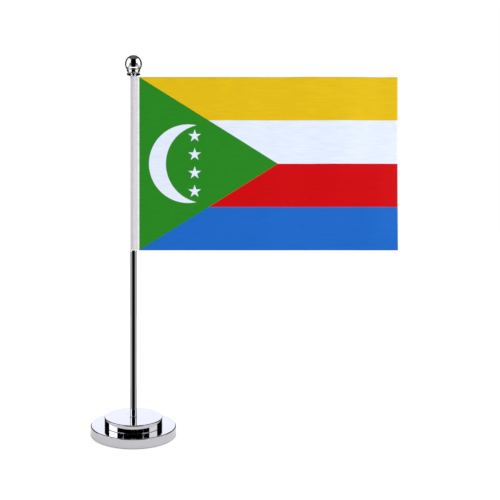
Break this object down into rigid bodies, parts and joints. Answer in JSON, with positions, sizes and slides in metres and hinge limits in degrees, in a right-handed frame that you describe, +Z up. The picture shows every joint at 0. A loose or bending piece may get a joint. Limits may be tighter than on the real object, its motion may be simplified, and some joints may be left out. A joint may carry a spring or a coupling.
{
  "type": "desk flag stand",
  "caption": "Weighted round stand with a slim pole, a ball finial that unscrews and a small printed flag whose sleeve turns on the pole.",
  "frame": {"origin": "centre of the underside, on the pole's axis, where the pad meets the desk", "axes": "+Z up along the pole, +X from the pole towards the flag's fly edge, +Y away from the side that faces the viewer"},
  "size_m": [0.2493, 0.0692, 0.3071],
  "materials": {
    "pad_foam": "fine closed-cell foam",
    "chromed_base": "mirror",
    "ballast_iron": "rough cast, unpainted",
    "zinc_steel": "bright zinc plate",
    "spring_steel": "dark, oiled",
    "chromed_pole": "mirror",
    "chromed_finial": "mirror",
    "sleeve_satin": "satin weave",
    "printed_satin": "printed satin weave",
    "sewing_thread": "polyester thread"
  },
  "bodies": {
    "stand": {"grip_pad": "pad_foam", "lower_tier": "chromed_base", "lower_ballast": "ballast_iron", "upper_tier": "chromed_base", "upper_ballast": "ballast_iron", "foot_stud": "zinc_steel", "flat_washer": "zinc_steel", "spring_washer": "spring_steel", "hex_nut": "zinc_steel", "lower_pole": "chromed_pole", "upper_pole": "chromed_pole"},
    "flag": {"pole_sleeve": "sleeve_satin", "flag_panel": "printed_satin", "seam_thread": "sewing_thread"},
    "finial_thread": {"finial_stud": "zinc_steel"},
    "finial": {"finial_collar": "chromed_finial", "finial_ball": "chromed_finial"}
  },
  "joints": [
    {"name": "flag_swivel", "type": "hinge", "parent": "stand", "child": "flag", "pos_m": [0, 0, 0.15], "axis": [0, 0, 1], "continuous": true},
    {"name": "finial_rise", "type": "slide", "parent": "stand", "child": "finial_thread", "axis": [0, 0, 1], "range_m": [0, 0.0055]},
    {"name": "finial_turn", "type": "hinge", "parent": "finial_thread", "child": "finial", "pos_m": [0, 0, 0.29], "axis": [0, 0, 1], "range_deg": [0, 3960]}
  ],
  "couplings": [
    {"joint": "finial_rise", "follows": "finial_turn", "m_per_rad": 0.000079577}
  ]
}
